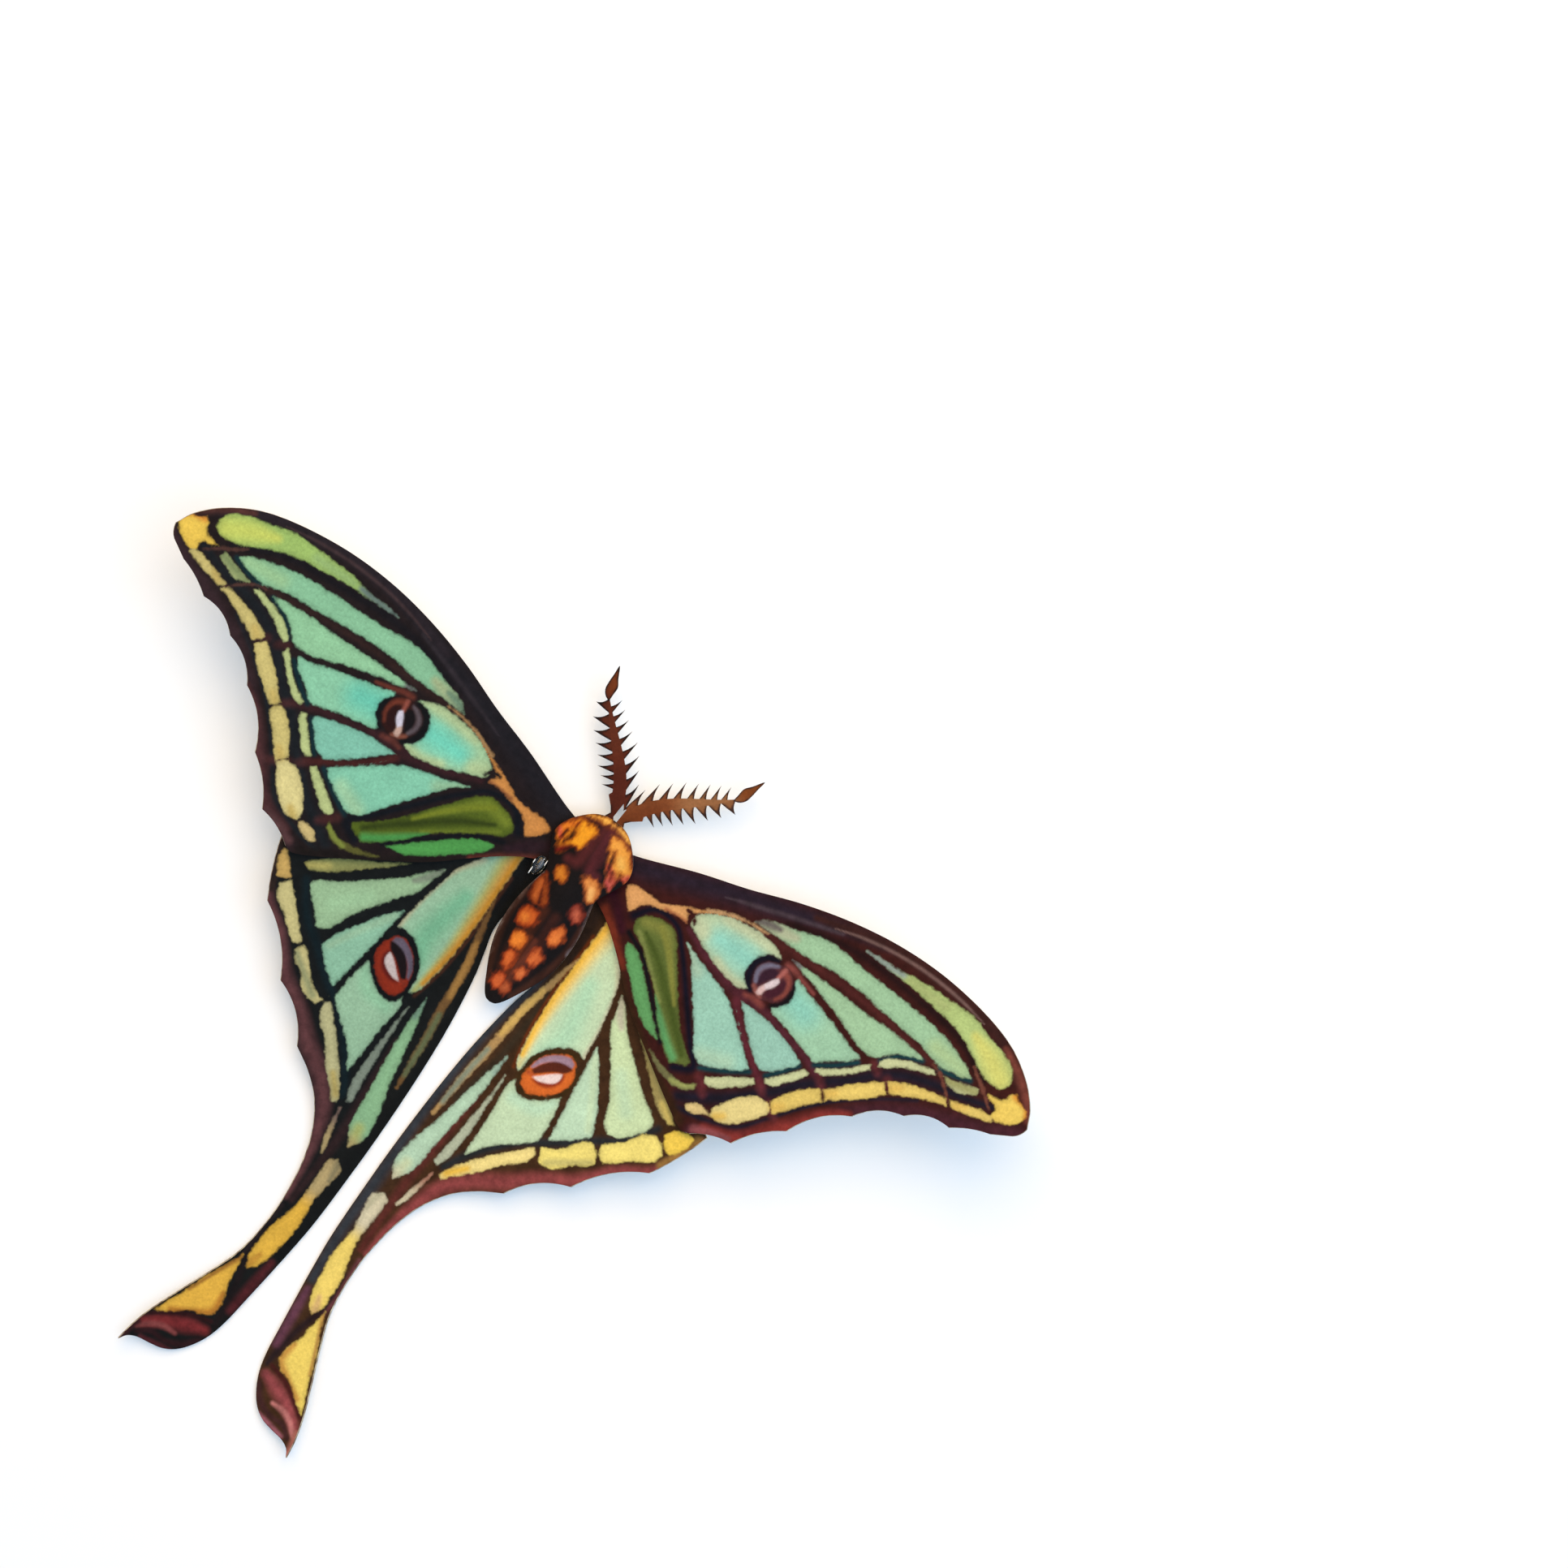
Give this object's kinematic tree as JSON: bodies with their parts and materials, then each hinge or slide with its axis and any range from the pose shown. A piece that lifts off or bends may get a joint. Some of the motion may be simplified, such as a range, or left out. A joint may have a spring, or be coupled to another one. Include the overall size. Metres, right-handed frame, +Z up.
{
  "type": "paper moth",
  "caption": "Life-size moon moth cut from folded, printed card: scalloped wings raised either side, long curved tails, a domed body glued over the folds and comb-shaped antennae.",
  "frame": {"origin": "on the underside of the lower wing card, below the middle of the thorax, on the forewing pair's centre line", "axes": "+X to the moth's right, +Y towards its head, +Z up from the surface it lies on"},
  "size_m": [0.0964, 0.0794, 0.0142],
  "materials": {
    "forewing_print": "matte printed card, mint green with dark brown veins",
    "hindwing_print": "matte printed card, pale green with dark veins and a maroon edge",
    "body_print": "matte printed card, dark brown with orange spots",
    "antenna_card": "matte brown card with laser-darkened edges",
    "clear_glue": "clear hardened glue, glossy"
  },
  "bodies": {
    "root": {"forewing_left": "forewing_print", "forewing_right": "forewing_print", "hindwing_left": "hindwing_print", "hindwing_right": "hindwing_print", "tail_left": "hindwing_print", "tail_right": "hindwing_print", "head": "body_print", "thorax": "body_print", "abdomen": "body_print", "antenna_left": "antenna_card", "antenna_right": "antenna_card", "glue_pad": "clear_glue", "glue_bead": "clear_glue"}
  },
  "joints": []
}
